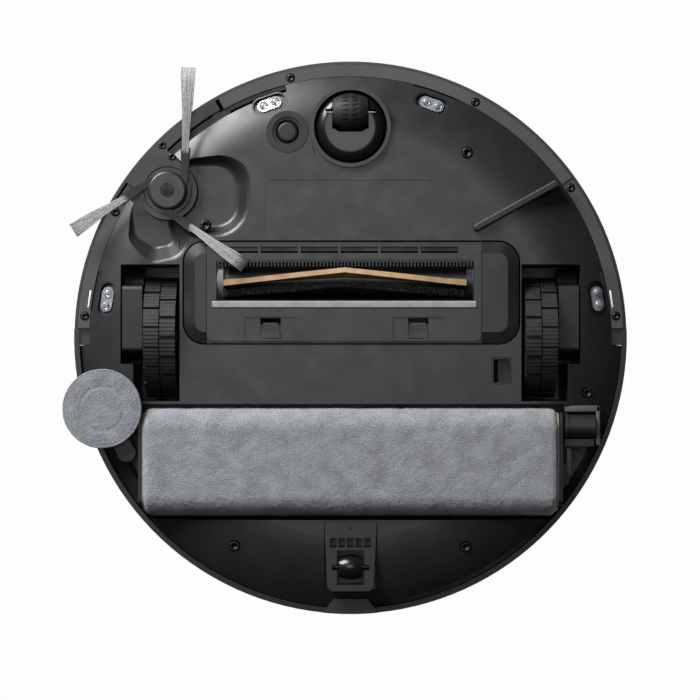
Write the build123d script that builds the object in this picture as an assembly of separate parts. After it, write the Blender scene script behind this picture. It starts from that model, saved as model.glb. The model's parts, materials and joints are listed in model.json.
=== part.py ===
from build123d import *

import os
from math import atan2, cos, degrees, radians, sin, sqrt

# Robot vacuum with a belt mop, a swing-out edge pad and a swing-out side brush.
# Frame: millimetres, +Z up, floor at Z = 0, origin on the floor under the centre of the round body.
# The front (bumper) faces -Y, so the machine's own right-hand side is -X.
# Every function makes one separate piece, and write() stores it as parts/NAME.step.

# ---------------------------------------------------------------- body
BODY_R = 175.0            # outer radius of the round body
FLAT_Z = 9.0              # ground clearance of the flat underside
SKIN = 2.4                # wall of the moulded covers
WALL = 2.0                # wall of the wells and bays
FLAT_R = 126.0            # the underside is flat inside this radius
BEVEL_R = 81.0            # arc that lifts the underside outside FLAT_R
WALL_R = 165.0            # outer radius of the chassis side wall
LIP_R = 171.2             # outer radius of the rear lip of the underside
WALL_TOP = 71.0           # top of the chassis side wall
TOP_Z = 84.0              # upper face of the top cover
SEAM_Z = 75.0             # lower edge of the top cover above the bumper
SKIRT_IN, SKIRT_Z = 171.6, 20.0     # rear skirt of the top cover
SIDE_Y = 5.0              # the rear lip and skirt lie behind this line
BUMPER_END_Y = 2.4        # the bumper ends here and may move back by 2 mm

# ---------------------------------------------------------------- front ring and bumper
RING_Z, RING_T = 19.2, 2.4          # lower face and thickness of the ring that closes the front rim
RING_IN, RING_OUT = 165.3, 172.6
RING_SCREW_R = 168.6
RING_SCREW_ANGLES = (-103.0, -62.0, -34.2, -4.6, -151.9, -175.4)
BUMPER_IN, BUMPER_Z0, BUMPER_Z1 = 172.9, 22.0, 74.4
WINDOW_HALF, WINDOW_Z0, WINDOW_Z1 = 26.0, 44.0, 62.0
SPRING_X, SPRING_Z, SPRING_R = 60.0, 40.0, 3.0

# ---------------------------------------------------------------- drive wheels
WHEEL_X, WHEEL_Z, WHEEL_R, WHEEL_W = 119.8, 38.5, 38.5, 20.0
TREAD_BLOCKS, TREAD_DEPTH, TREAD_GROOVE = 19, 2.2, 1.6
PIVOT_Y, PIVOT_Z = -33.0, 36.0
WELL_IN, WELL_MID, WELL_OUT = 107.4, 136.7, 144.8
WELL_Y0, WELL_Y1, WELL_Y2, WELL_TOP = -46.0, 16.6, 40.2, 77.6

# ---------------------------------------------------------------- front caster
CASTER_Y, CASTER_R = -132.3, 22.3
COLLAR_IN, COLLAR_OUT, COLLAR_Z = 23.0, 25.4, 6.6
CASTER_WHEEL_Y, CASTER_WHEEL_R, CASTER_WHEEL_W = -141.9, 12.0, 22.0
CASTER_TOP = 34.0

# ---------------------------------------------------------------- brush deck and main brush
DECK_X0, DECK_X1, DECK_Y0, DECK_Y1 = -104.6, 105.8, -60.0, 3.6
DECK_Z, DECK_CORNER, DECK_BEVEL, DECK_TOP = 7.0, 13.0, 7.0, 42.0
BAY_TOP, BAY_GAP = 50.0, 1.0
GUARD_X0, GUARD_X1, GUARD_Y0, GUARD_Y1, GUARD_T = -90.2, 82.0, -58.6, 2.2, 2.2
MOUTH_X0, MOUTH_X1, MOUTH_Y0, MOUTH_Y1 = -84.2, 77.4, -48.9, -23.4
LATCH_X = (-50.2, 42.6)
BRUSH_Y, BRUSH_Z, BRUSH_R, CORE_R = -36.15, 21.5, 17.5, 9.0
BRUSH_X0, BRUSH_X1 = -84.0, 77.0
BRUSH_ROWS, BLADE_LEAD, BLADE_MID, ROW_SHIFT = 2, 28.0, -21.0, 27.0
END_DISC_R, END_DISC_T = 14.0, 4.0
COMB_PITCH, COMB_TEETH = 2.2, 73

# ---------------------------------------------------------------- belt mop and edge pad
MOP_X, MOP_Y0, MOP_Y1, MOP_R, MOP_Z = 130.2, 43.8, 112.6, 14.0, 14.3
BELT_T, ROLLER_R, BELT_CORNER = 3.6, 10.1, 5.0
MOP_BAY_X, MOP_BAY_Y0, MOP_BAY_Y1, MOP_BAY_TOP = 134.5, 41.8, 114.8, 50.0
SIDE_POCKET_X, SIDE_POCKET_TOP = 157.5, 44.0
PAD_X, PAD_Y, PAD_R, PAD_Z0, PAD_Z1 = -155.4, 44.6, 25.1, 0.3, 5.0
PAD_PIVOT_X, PAD_PIVOT_Y, PAD_ARM_Z = -141.0, 72.0, 8.4

# ---------------------------------------------------------------- side brush
HUB_X, HUB_Y, HUB_R, HOUSING_R = -114.8, -92.2, 12.4, 18.2
ARM_PIVOT_R, ARM_PIVOT_ANGLE = 167.5, -121.0
ARM_Z0, ARM_Z1, ARM_PLATE_Z = 11.2, 21.4, 17.8
ARM_A0, ARM_A1, ARM_A2 = -145.3, -134.4, -119.8
SLOT_R, SLOT_A1 = 160.4, -104.5
TUFT_ANGLES = (-87.7, 147.3, 35.4)  # directions of the three tufts, seen from above
TUFT_REACH, TUFT_OFFSET = (77.0, 63.0, 67.5), 10.4
RUBBER_R, FLAT_FROM = 27.0, 56.0

# ---------------------------------------------------------------- rear roller, top side, inside
REAR_Y0, REAR_Y1, REAR_HALF, REAR_Z = 115.8, 159.4, 16.4, 8.0
REAR_ROLLER_Y, REAR_ROLLER_Z, REAR_ROLLER_R, REAR_ROLLER_W = 144.6, 13.6, 7.8, 14.2
TURRET_Y, TURRET_R, TURRET_TOP = 72.0, 47.0, 101.0
LID_R, LID_Y, LID_T, LID_HINGE_R = 160.0, -6.0, 2.6, 1.25
BIN_X, BIN_Y0, BIN_Y1, BIN_Z0, BIN_Z1 = 70.0, -126.0, -68.0, 44.5, 79.0
BUTTONS = {"power_button": (-15.0, 8.0), "home_button": (15.0, 8.0)}
BUTTON_R, BUTTON_TRAVEL = 6.5, 1.2
FAN_X, FAN_Y, FAN_R, FAN_Z = 104.0, -92.0, 23.0, 21.0
LABEL = (-53.6, 54.4, -99.0, -62.6)

COVER_SCREW_R, RING_SCREW_HEAD_R = 3.7, 2.6
COVER_SCREWS = [(-91.2, -70.4), (73.6, -116.2), (149.6, 34.9), (-73.2, 131.6), (72.8, 132.2)]
CLIFFS = [(-51.2, -147.5), (51.2, -147.5), (-153.8, -24.2), (156.0, -24.6)]
CLIFF_L, CLIFF_W = 22.4, 11.4        # seat of a cliff sensor
LENS_L, LENS_W, LENS_DOME_R, LENS_DOME_X = 15.7, 7.5, 2.9, 3.9
CARPET_X, CARPET_Y, CARPET_R = -39.7, -129.4, 13.0
FLOOR_SENSOR = (88.7, 101.3, 12.4, 29.5)
FIN_FROM, FIN_TO, FIN_W, FIN_Z = (79.5, -69.0), (128.6, -96.3), 4.8, 4.6


# ---------------------------------------------------------------- helpers
def block(x0, x1, y0, y1, z0, z1):
    """A box between two corners."""
    return Pos((x0 + x1) / 2, (y0 + y1) / 2, (z0 + z1) / 2) * Box(x1 - x0, y1 - y0, z1 - z0)


def post(x, y, r, z0, z1):
    """An upright cylinder."""
    return Pos(x, y, (z0 + z1) / 2) * Cylinder(r, z1 - z0)


def rod(y, z, r, x0, x1):
    """A cylinder along X."""
    return Pos((x0 + x1) / 2, y, z) * Rot(0, 90, 0) * Cylinder(r, x1 - x0)


def tube(x, y, r_out, r_in, z0, z1):
    """An upright tube."""
    return post(x, y, r_out, z0, z1) - post(x, y, r_in, z0 - 1, z1 + 1)


def slab(outline, z0, z1):
    """A sketch in the XY plane as a solid from z0 to z1."""
    return Pos(0, 0, z0) * extrude(outline, z1 - z0)


def rounded_plate(x0, x1, y0, y1, r, z0, z1):
    """A plate with rounded corners."""
    return slab(Pos((x0 + x1) / 2, (y0 + y1) / 2) * RectangleRounded(x1 - x0, y1 - y0, r), z0, z1)


def polar(r, angle):
    """The XY point at a radius and an angle in degrees."""
    return r * cos(radians(angle)), r * sin(radians(angle))


def sector(r_in, r_out, a0, a1, z0, z1):
    """A ring sector about the Z axis, between two angles in degrees."""
    outer = [polar(r_out, a) for a in (a0, (a0 + a1) / 2, a1)]
    inner = [polar(r_in, a) for a in (a1, (a0 + a1) / 2, a0)]
    edges = [
        ThreePointArc(*outer),
        Line(outer[2], inner[0]),
        ThreePointArc(*inner),
        Line(inner[2], outer[0]),
    ]
    return slab(make_face(edges), z0, z1)


def polygon(points, z0, z1):
    """A prism over the given corners."""
    return slab(make_face(Polyline(*points, close=True)), z0, z1)


def bevel_z(r):
    """Height of the underside at radius r from the body's axis."""
    return FLAT_Z if r <= FLAT_R else FLAT_Z + BEVEL_R - sqrt(BEVEL_R**2 - (r - FLAT_R) ** 2)


def underside_z(x, y):
    """Height of the underside over a point of the floor."""
    return bevel_z(sqrt(x * x + y * y))


def above_underside(offset=0.0):
    """Everything above the underside, raised by an offset; trims pieces that are set on it."""
    arc = [(r, bevel_z(r) + offset) for r in (FLAT_R, (FLAT_R + LIP_R) / 2, LIP_R)]
    edges = [
        Line((0, FLAT_Z + offset), arc[0]),
        ThreePointArc(*arc),
        Line(arc[2], (200, arc[2][1] + 16)),
        Polyline((200, arc[2][1] + 16), (200, 120), (0, 120), (0, FLAT_Z + offset)),
    ]
    return revolve(Plane.XZ * make_face(edges), axis=Axis.Z)


def both_sides(shape):
    """The piece and its mirror image across the machine's middle."""
    return shape + mirror(shape, about=Plane.YZ)


def side_of(side, shape):
    """A piece modelled at -X, on the side asked for: -1 keeps it and 1 mirrors it."""
    return shape if side < 0 else mirror(shape, about=Plane.YZ)


def group(shapes):
    """Separate solids kept together in one node."""
    return Compound([solid for shape in shapes for solid in shape.solids()])


def write(name, shape):
    """Stores one sub-part."""
    export_step(shape, f"parts/{name}.step")


def screw(x, y, z, r, shank):
    """A pan-head screw with a cross recess, its head facing down."""
    body = post(x, y, r, z, z + 1.6) + post(x, y, 1.2, z + 1.6, z + 1.6 + shank)
    body -= block(x - r * 0.6, x + r * 0.6, y - 0.4, y + 0.4, z - 1, z + 0.8)
    return body - block(x - 0.4, x + 0.4, y - r * 0.6, y + r * 0.6, z - 1, z + 0.8)


def screw_hole(x, y, z, r):
    """Room for such a screw's head and shank."""
    return post(x, y, r + 0.4, 0, z + 1.6) + post(x, y, 1.3, 0, z + 12)


def cliff_slot(x, y, length, width, z0, z1):
    """A slot with round ends along the rim, at a cliff sensor's place."""
    angle = degrees(atan2(y, x)) + 90
    return slab(Pos(x, y) * Rot(0, 0, angle) * SlotOverall(length, width), z0, z1)


def tuft_place(angle):
    """Frame of one tuft: +X points along it from the hub's axis."""
    return Pos(HUB_X, HUB_Y) * Rot(0, 0, angle)


def hub_place(swing):
    """The side brush's axis when its arm is swung out by an angle in degrees."""
    px, py = polar(ARM_PIVOT_R, ARM_PIVOT_ANGLE)
    dx, dy = HUB_X - px, HUB_Y - py
    c, s = cos(radians(swing)), sin(radians(swing))
    return px + dx * c - dy * s, py + dx * s + dy * c


# ---------------------------------------------------------------- chassis
def wheel_well(grow, top):
    """The stepped well round the wheel at -X; grow adds its wall."""
    outer = block(-WELL_OUT - grow, -WELL_IN + grow, WELL_Y0 - grow, WELL_Y1 + grow, 0, top)
    inner = block(-WELL_MID - grow, -WELL_IN + grow, WELL_Y1 - 1, WELL_Y2 + grow, 0, top)
    return outer + inner


def side_pocket(grow, z0, top):
    """The room beside the mop's end plates, at -X."""
    return block(-SIDE_POCKET_X - grow, -MOP_BAY_X + 1, 60.0 - grow, 104.0 + grow, z0, top)


def drive_pocket(grow, z0, top):
    """The room for the mop's motor, at +X."""
    return block(MOP_BAY_X - 1, SIDE_POCKET_X + grow, 42.6 - grow, 104.0 + grow, z0, top)


def hollow(outline, depth, taper, floor_r, rim_r):
    """A cutter for a hollow in the flat underside, with a rounded floor edge and a flared rim."""
    top_z = FLAT_Z + depth
    cutter = extrude(Pos(0, 0, top_z) * outline, -depth, taper=-taper)
    cutter = fillet([e for e in cutter.edges() if abs(e.bounding_box().min.Z - top_z) < 0.01], floor_r)
    low = [e for e in cutter.edges() if abs(e.bounding_box().max.Z - FLAT_Z) < 0.01]
    places = [e.center() for e in low]
    middle = cutter.center()
    cutter += post(middle.X, middle.Y, 56, FLAT_Z - 8, FLAT_Z)
    flat = [e for e in cutter.edges() if abs(e.bounding_box().max.Z - FLAT_Z) < 0.01]
    rim = [e for e in flat if any((e.center() - place).length < 0.2 for place in places)]
    return fillet([e for e in rim if abs(e.bounding_box().min.Z - FLAT_Z) < 0.01], rim_r)


def pan_hollow():
    """The pan on the inner side of the side brush, where it throws dirt towards the mouth."""
    return hollow(Pos(-91.0, -90.0) * RectangleRounded(40, 40, 14), 7.6, 38, 4.5, 5.0)


def fan_hollow():
    """The fan-shaped hollow between the side brush and the wheel."""
    corners = [(-116.0, -80.0), (-132.0, -94.0), (-138.5, -82.0)]
    corners += [(-136.5, -64.0), (-124.0, -56.5), (-111.0, -59.0)]
    outline = make_face(Polyline(*corners, close=True))
    outline = fillet(outline.vertices(), 4.5)
    return hollow(outline, 8.0, 50, 3.0, 4.5)


def bottom_cover():
    """Chassis moulding: underside, side wall, wells and bays, with every opening of the underside."""
    trim = post(0, 0, LIP_R - 0.2, 0, 120)
    shell = above_underside() & post(0, 0, LIP_R, 0, WALL_TOP)
    shell -= above_underside(SKIN) & post(0, 0, WALL_R - SKIN, 0, 120)
    shell -= tube(0, 0, BODY_R + 9, WALL_R, 24.6, 120)
    # solid parts behind the skin, cut to shape below
    shell += both_sides(wheel_well(WALL, WELL_TOP + 1) & above_underside()) & trim
    x0, x1 = DECK_X0 - BAY_GAP - WALL, DECK_X1 + BAY_GAP + WALL
    y0, y1 = DECK_Y0 - BAY_GAP - WALL, DECK_Y1 + BAY_GAP + WALL
    shell += block(x0, x1, y0, y1, FLAT_Z, BAY_TOP)
    shell += post(0, CASTER_Y, COLLAR_OUT, COLLAR_Z, CASTER_TOP)
    bay = block(-MOP_BAY_X - WALL, MOP_BAY_X + WALL, MOP_BAY_Y0 - WALL, MOP_BAY_Y1 + WALL, 0, MOP_BAY_TOP)
    bay += side_pocket(WALL, 0, SIDE_POCKET_TOP + WALL)
    bay += drive_pocket(WALL, 0, SIDE_POCKET_TOP + WALL)
    shell += bay & above_underside() & trim
    shell += sector(118, WALL_R - 1, -150, -118, FLAT_Z, 24) & above_underside()
    rear_seat = rounded_plate(-REAR_HALF - WALL, REAR_HALF + WALL, 114, REAR_Y1 + WALL, 3, FLAT_Z, 28)
    shell += rear_seat & above_underside()
    pan_seat = rounded_plate(-118, -57, -120, -62, 16, FLAT_Z, 19)
    shell += pan_seat & above_underside()
    fan_seat = rounded_plate(-152, -108, -112, WELL_Y0, 8, FLAT_Z, 22) & above_underside()
    shell += fan_seat & post(0, 0, WALL_R - 1, 0, 99)
    # wells and bays
    shell -= post(0, CASTER_Y + 8.0, 24.6, 0, FLAT_Z + 1.0) - post(0, CASTER_Y, COLLAR_OUT, 0, 20)
    shell -= both_sides(wheel_well(0, WELL_TOP) + rod(PIVOT_Y, PIVOT_Z, 3.06, -WELL_OUT - WALL, -WELL_OUT))
    shell -= rounded_plate(x0 + WALL, x1 - WALL, y0 + WALL, y1 - WALL, DECK_CORNER + 1, 0, BAY_TOP - WALL)
    shell -= post(0, CASTER_Y, COLLAR_IN, 0, CASTER_TOP - WALL)
    shell -= post(0, CASTER_Y, 4.06, 0, CASTER_TOP + 1)
    shell -= block(-MOP_BAY_X, MOP_BAY_X, MOP_BAY_Y0, MOP_BAY_Y1, 0, MOP_BAY_TOP - WALL)
    shell -= side_pocket(0, 0, SIDE_POCKET_TOP) & post(0, 0, WALL_R - SKIN - 0.6, 0, 99)
    shell -= drive_pocket(0, 0, SIDE_POCKET_TOP) & post(0, 0, WALL_R + 3, 0, 99)
    shell -= post(PAD_PIVOT_X, PAD_PIVOT_Y, 3.06, 0, SIDE_POCKET_TOP + 3)
    shell -= rounded_plate(-REAR_HALF - 0.2, REAR_HALF + 0.2, REAR_Y0 - 0.2, REAR_Y1 + 0.2, 2, 0, 26)
    # room in front of the wall for the ring, and for the side brush's arm and its swing
    shell -= tube(0, 0, BODY_R + 9, WALL_R, 0, 26) & block(-200, 200, -200, SIDE_Y, 0, 26)
    for swing in (0, 5, 10, 15, 20):
        x, y = hub_place(swing)
        shell -= post(x, y, HOUSING_R + 0.7, 0, 22)
    shell -= sector(SLOT_R, 180, ARM_A1 + 0.4, SLOT_A1, 0, 22)
    shell -= sector(148, 180, ARM_A0 - 2.4, ARM_A1 + 0.5, 0, 22)
    shell -= pan_hollow()
    shell -= fan_hollow()
    shell -= sector(163.4, 166, -76, -65.5, 0, 24)
    shell -= both_sides(sector(162.4, 165.4, -174.2, -165.2, 0, 23.5))
    # plates that close the rim beside the bumper's ends and under the side brush's outer end
    shell += both_sides(sector(WALL_R - 1, 172.2, 178.4, 181.9, 21.9, 70.0))
    shell += sector(WALL_R - 1, 171.4, -150.0, -144.8, 22.0, 24.4)
    # ring lugs and the arm's pivot lug
    for angle in RING_SCREW_ANGLES:
        boss = post(*polar(RING_SCREW_R, angle), 1.9, RING_Z + RING_T, 32)
        shell += boss - post(0, 0, WALL_R - SKIN, 0, 99)
        shell += sector(WALL_R - 1, RING_SCREW_R, angle - 0.5, angle + 0.5, RING_Z + RING_T + 0.1, 32)
        shell -= post(*polar(RING_SCREW_R, angle), 1.25, RING_Z, 31)
    pivot = polar(ARM_PIVOT_R, ARM_PIVOT_ANGLE)
    shell += post(*pivot, 3.3, 22.0, 34.0) - post(0, 0, WALL_R - SKIN, 0, 99)
    shell -= post(*pivot, 2.06, 0, 33)
    # seats of the small parts of the underside
    shell -= polygon([(-19.3, 177), (19.3, 177), (10.9, 165.2), (-10.9, 165.2)], 0, 26.2)
    for x, y in COVER_SCREWS:
        shell -= screw_hole(x, y, underside_z(x, y) + 0.2, COVER_SCREW_R)
    for x, y in CLIFFS:
        shell -= cliff_slot(x, y, CLIFF_L + 0.6, CLIFF_W + 0.6, 0, underside_z(x, y) + 9)
    shell -= post(CARPET_X, CARPET_Y, CARPET_R + 0.2, 0, 20)
    shell -= block(FLOOR_SENSOR[0], FLOOR_SENSOR[1], FLOOR_SENSOR[2], FLOOR_SENSOR[3], 0, 20)
    shell -= rounded_plate(*LABEL, 5, 0, FLAT_Z + 0.4)
    return shell


def ring_piece():
    """Ring that closes the front rim from below and holds the bumper; split where the arm swings."""
    z0, z1 = RING_Z, RING_Z + RING_T
    ring = sector(RING_IN, RING_OUT, -118.95, -2.0, z0, z1)
    ring += sector(RING_IN, RING_OUT, -178.0, -149.8, z0, z1)
    ring -= sector(RING_IN - 1, RING_OUT + 1, -35.9, -35.3, z0 - 1, z0 + 1.2)
    for angle in RING_SCREW_ANGLES:
        ring -= screw_hole(*polar(RING_SCREW_R, angle), z0, RING_SCREW_HEAD_R)
    return ring


def top_cover():
    """Top shell with its rear skirt, the lid's recess and the openings for turret and buttons."""
    cover = fillet(post(0, 0, BODY_R, SEAM_Z, TOP_Z).edges().group_by(Axis.Z)[-1], 3.5)
    cover -= post(0, 0, SKIRT_IN, SEAM_Z - 1, TOP_Z - 2 * LID_T)
    skirt = tube(0, 0, BODY_R, SKIRT_IN, SKIRT_Z, SEAM_Z) & block(-200, 200, SIDE_Y + 0.2, 200, 0, 99)
    cover += skirt
    cover += both_sides(sector(SKIRT_IN, BODY_R, 178.1, 181.8, SKIRT_Z, BUMPER_Z0 - 0.3))
    lid = post(0, 0, LID_R + 0.4, TOP_Z - LID_T, TOP_Z + 1)
    cover -= lid & block(-200, 200, -200, LID_Y + LID_HINGE_R + 0.35, 0, 120)
    cover -= block(-BIN_X - 4, BIN_X + 4, BIN_Y0 - 4, BIN_Y1 + 4, 60, TOP_Z + 1)
    cover -= post(0, TURRET_Y, TURRET_R - 7, 70, TOP_Z + 1)
    for x, y in BUTTONS.values():
        cover -= post(x, y, BUTTON_R + 0.35, 70, TOP_Z + 1)
    for side in (-1, 1):
        cover -= sector(173.6, 177, 90 + side * 14.2 - 3.4, 90 + side * 14.2 + 3.4, 26, 52)
    cover -= polygon([(-19.4, 177), (19.4, 177), (11.0, 165), (-11.0, 165)], 0, 26.2)
    return cover


def rear_tab():
    """Small plate that closes the rim behind the rear roller."""
    tab = polygon([(-19.0, 176), (19.0, 176), (10.7, 165.4), (-10.7, 165.4)], 18.6, 26)
    return tab & post(0, 0, BODY_R, 0, 30)


# ---------------------------------------------------------------- small parts of the underside
def underside_screws():
    """Screws of the underside and of the front ring."""
    screws = [screw(x, y, underside_z(x, y) + 0.2, COVER_SCREW_R, 7.0) for x, y in COVER_SCREWS]
    for angle in RING_SCREW_ANGLES:
        screws.append(screw(*polar(RING_SCREW_R, angle), RING_Z - 0.1, RING_SCREW_HEAD_R, 6.0))
    return group(screws)


def cliff_housings():
    """Holders of the four cliff sensors, each a deep oval seat that follows the underside."""
    holders = []
    for x, y in CLIFFS:
        top = underside_z(x, y) + 8.5
        seat = cliff_slot(x, y, CLIFF_L + 0.4, CLIFF_W + 0.4, 0, top) & above_underside(0.3)
        seat -= cliff_slot(x, y, CLIFF_L - 1.4, CLIFF_W - 1.4, 0, top - 0.2) - above_underside(2.6)
        holders.append(seat)
    return group(holders)


def cliff_lenses():
    """Clear windows of the cliff sensors, each with two domes."""
    windows = []
    for x, y in CLIFFS:
        z = underside_z(x, y)
        angle = atan2(y, x) + radians(90)
        window = cliff_slot(x, y, LENS_L, LENS_W, 0, z + 8) & above_underside(1.5)
        for side in (-LENS_DOME_X, LENS_DOME_X):
            window += Pos(x + side * cos(angle), y + side * sin(angle), z + 2.4) * Sphere(LENS_DOME_R)
        windows.append(window - above_underside(2.5))
    return group(windows)


def carpet_sensor():
    """Ultrasonic carpet sensor: a stepped round seat with the sensor's dome in the middle."""
    ring = tube(CARPET_X, CARPET_Y, CARPET_R, 9.4, FLAT_Z - 0.5, 19)
    ring += tube(CARPET_X, CARPET_Y, 10.2, 7.4, FLAT_Z + 1.6, 19)
    dome = fillet(post(CARPET_X, CARPET_Y, 7.0, FLAT_Z + 1.2, 18).edges().group_by(Axis.Z)[0], 2.4)
    return group([ring, dome])


def floor_sensor():
    """Optical floor-tracking sensor: a box with a sloping window."""
    x0, x1, y0, y1 = FLOOR_SENSOR
    box = block(x0 + 0.15, x1 - 0.15, y0 + 0.15, y1 - 0.15, FLAT_Z + 0.2, 19)
    box -= block(x0 + 1.2, x1 - 1.2, y0 + 1.2, y1 - 1.2, 0, 16)
    ramp = Polyline((x0 + 1.2, 16.5), (x0 + 4.8, 16.5), (x0 + 1.2, 11.0), close=True)
    return box + Pos(0, y1 - 1.2, 0) * extrude(Plane.XZ * make_face(ramp), y1 - y0 - 2.4)


def deflector_fin():
    """Slanting rib that steers the machine's dirt towards the mouth."""
    (ax, ay), (bx, by) = FIN_FROM, FIN_TO
    length = sqrt((bx - ax) ** 2 + (by - ay) ** 2) + FIN_W
    place = Pos((ax + bx) / 2, (ay + by) / 2) * Rot(0, 0, degrees(atan2(by - ay, bx - ax)))
    fin = slab(place * SlotOverall(length, FIN_W), FIN_Z, 20)
    fin = fillet(fin.edges().group_by(Axis.Z)[0], 1.2)
    return fin - above_underside(-0.02)


def rear_plate():
    """Holder of the rear roller, with a grille in front of it."""
    corners = [(-REAR_HALF, REAR_Y0), (REAR_HALF, REAR_Y0), (14.4, REAR_Y1), (-14.4, REAR_Y1)]
    plate = polygon(corners, REAR_Z, 25.5)
    plate = fillet(plate.edges().filter_by(Axis.Z).group_by(Axis.Y)[-1], 4)
    plate = fillet(plate.edges().filter_by(Axis.Z).group_by(Axis.Y)[0], 2.2)
    plate -= block(-8.6, 8.6, 133.6, 155.6, 0, 23.5)
    plate -= post(0, 120.2, 1.1, 0, 12)
    for i in range(5):
        x = -10.8 + i * 5.4
        plate -= block(x - 2.2, x + 2.2, 126.0, 132.0, 0, 23.5)
    plate -= rod(REAR_ROLLER_Y, REAR_ROLLER_Z, 1.65, -11.9, 11.9) + block(-11.9, 11.9, 143.0, 146.2, 0, 13.6)
    return plate


def rear_roller():
    """Barrel-shaped roller with its axle, for crossing thresholds."""
    half = REAR_ROLLER_W / 2
    outline = [
        Polyline((0, 0), (-11.6, 0), (-11.6, 1.5), (-half, 1.5), (-half, REAR_ROLLER_R - 1.6)),
        ThreePointArc((-half, REAR_ROLLER_R - 1.6), (0, REAR_ROLLER_R), (half, REAR_ROLLER_R - 1.6)),
        Polyline((half, REAR_ROLLER_R - 1.6), (half, 1.5), (11.6, 1.5), (11.6, 0), (0, 0)),
    ]
    return Pos(0, REAR_ROLLER_Y, REAR_ROLLER_Z) * revolve(make_face(outline), axis=Axis.X)


def charging_contacts():
    """The two charging plates on the rear skirt."""
    plates = []
    for side in (-1, 1):
        angle = 90 + side * 14.2
        plates.append(sector(173.7, BODY_R + 0.5, angle - 3.3, angle + 3.3, 26.1, 51.9))
    return group(plates)


# ---------------------------------------------------------------- bumper
def bumper_shell():
    """Outer bumper band, free to move back a little."""
    shell = tube(0, 0, BODY_R, BUMPER_IN, BUMPER_Z0, BUMPER_Z1)
    shell &= block(-200, 200, -200, BUMPER_END_Y, 0, 120)
    shell -= sector(BODY_R - 1.0, BODY_R + 2, -90 - WINDOW_HALF, -90 + WINDOW_HALF, WINDOW_Z0, WINDOW_Z1)
    return shell


def bumper_window():
    """Dark infrared window let into the front of the bumper."""
    a0, a1 = -90.1 - WINDOW_HALF + 0.2, -89.9 + WINDOW_HALF - 0.2
    return sector(BODY_R - 0.95, BODY_R - 0.1, a0, a1, WINDOW_Z0 + 0.1, WINDOW_Z1 - 0.1)


def bumper_springs():
    """The two coil springs that push the bumper forward."""
    springs = []
    y0 = -sqrt((BUMPER_IN - 0.3) ** 2 - (SPRING_X + SPRING_R) ** 2)
    y1 = -sqrt(WALL_R**2 - (SPRING_X - SPRING_R) ** 2) - 0.1
    for side in (-1, 1):
        ring = Cylinder(SPRING_R, y1 - y0) - Cylinder(SPRING_R - 0.8, y1 - y0 + 1)
        springs.append(Pos(side * SPRING_X, (y0 + y1) / 2, SPRING_Z) * Rot(90, 0, 0) * ring)
    return group(springs)


# ---------------------------------------------------------------- caster
def caster_housing():
    """Swivelling dome that holds the front wheel, with its stem."""
    dome = fillet(post(0, CASTER_Y, CASTER_R, 5.2, 22).edges().group_by(Axis.Z)[0], 7.5)
    dome += post(0, CASTER_Y, 4.0, 21, CASTER_TOP + 4)
    half = CASTER_WHEEL_W / 2 + 0.5
    room = rod(CASTER_WHEEL_Y, CASTER_WHEEL_R, CASTER_WHEEL_R + 1.0, -half, half)
    room += rounded_plate(-half, half, CASTER_WHEEL_Y - 13, CASTER_WHEEL_Y + 13, 6, 0, CASTER_WHEEL_R)
    room += rod(CASTER_WHEEL_Y, CASTER_WHEEL_R, 1.5, -15.6, 15.6)
    return dome - room - block(-15.6, 15.6, CASTER_WHEEL_Y - 1.5, CASTER_WHEEL_Y + 1.5, 0, CASTER_WHEEL_R)


def caster_axle():
    """Steel pin of the front wheel."""
    return rod(CASTER_WHEEL_Y, CASTER_WHEEL_R, 1.47, -15.4, 15.4)


def caster_wheel():
    """Barrel-shaped front wheel with two rows of short ribs."""
    half = CASTER_WHEEL_W / 2
    edge = CASTER_WHEEL_R - 3.0
    outline = [
        Polyline((0, 1.55), (-half, 1.55), (-half, edge)),
        ThreePointArc((-half, edge), (0, CASTER_WHEEL_R), (half, edge)),
        Polyline((half, edge), (half, 1.55), (0, 1.55)),
    ]
    wheel = revolve(make_face(outline), axis=Axis.X)
    slots = [
        Rot(360 / 24 * i, 0, 0) * Pos(side * 4.6, 0, CASTER_WHEEL_R) * Box(6.6, 1.3, 1.6)
        for i in range(24)
        for side in (-1, 1)
    ]
    return Pos(0, CASTER_WHEEL_Y, CASTER_WHEEL_R) * (wheel - slots)


# ---------------------------------------------------------------- drive wheels
def wheel_housing():
    """Gearbox of the drive wheel at -X; it swings about its pivot when the wheel drops."""
    arm = block(-143.8, -131.2, PIVOT_Y, 30, 12, 62) + rod(PIVOT_Y, PIVOT_Z, 11, -143.8, -131.2)
    arm &= rod(PIVOT_Y, PIVOT_Z, 47.5, -150, -120)
    arm = fillet(arm.edges().filter_by(Axis.X), 3)
    arm += rod(0, WHEEL_Z, 3.0, -131.3, -114.2)
    return arm + rod(PIVOT_Y, PIVOT_Z, 3.0, -WELL_OUT - 1.6, -140)


def wheel_hub():
    """Hard core of the drive wheel at -X."""
    inner, outer = -WHEEL_X + WHEEL_W / 2, -WHEEL_X - WHEEL_W / 2
    hub = rod(0, WHEEL_Z, 29.9, outer + 0.3, inner - 0.6)
    hub -= rod(0, WHEEL_Z, 25, inner - 4, inner + 1) - rod(0, WHEEL_Z, 8, inner - 5, inner + 2)
    for i in range(5):
        hub -= Pos(0, 0, WHEEL_Z) * Rot(72 * i, 0, 0) * rod(0, 16.5, 4.2, inner - 7, inner)
    return hub - rod(0, WHEEL_Z, 3.04, outer - 1, inner - 4)


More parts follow.
